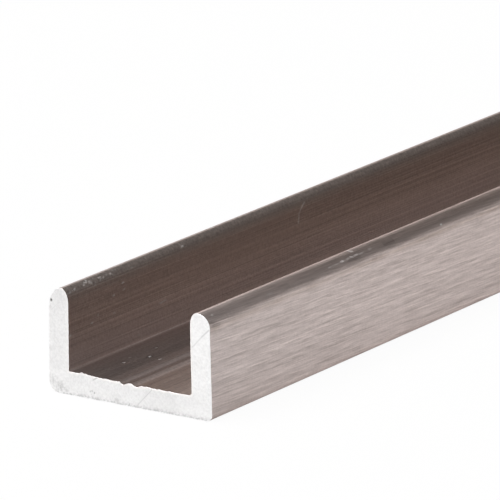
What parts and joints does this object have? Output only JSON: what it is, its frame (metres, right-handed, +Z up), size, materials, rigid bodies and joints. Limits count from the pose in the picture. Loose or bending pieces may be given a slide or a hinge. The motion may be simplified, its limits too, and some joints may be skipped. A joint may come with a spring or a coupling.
{
  "type": "u-channel",
  "caption": "Straight length of aluminium U-channel with rounded leg edges and guide grooves along its floor.",
  "frame": {"origin": "middle of the underside of the web, half way along the bar", "axes": "+Y along the bar, +X across the section, +Z up from the web towards the open side"},
  "size_m": [0.0254, 0.3048, 0.014],
  "materials": {
    "anodised_nickel": "brushed along the length and anodised a warm nickel tone, with bare sawn ends"
  },
  "bodies": {
    "root": {"u_channel": "anodised_nickel"}
  },
  "joints": []
}
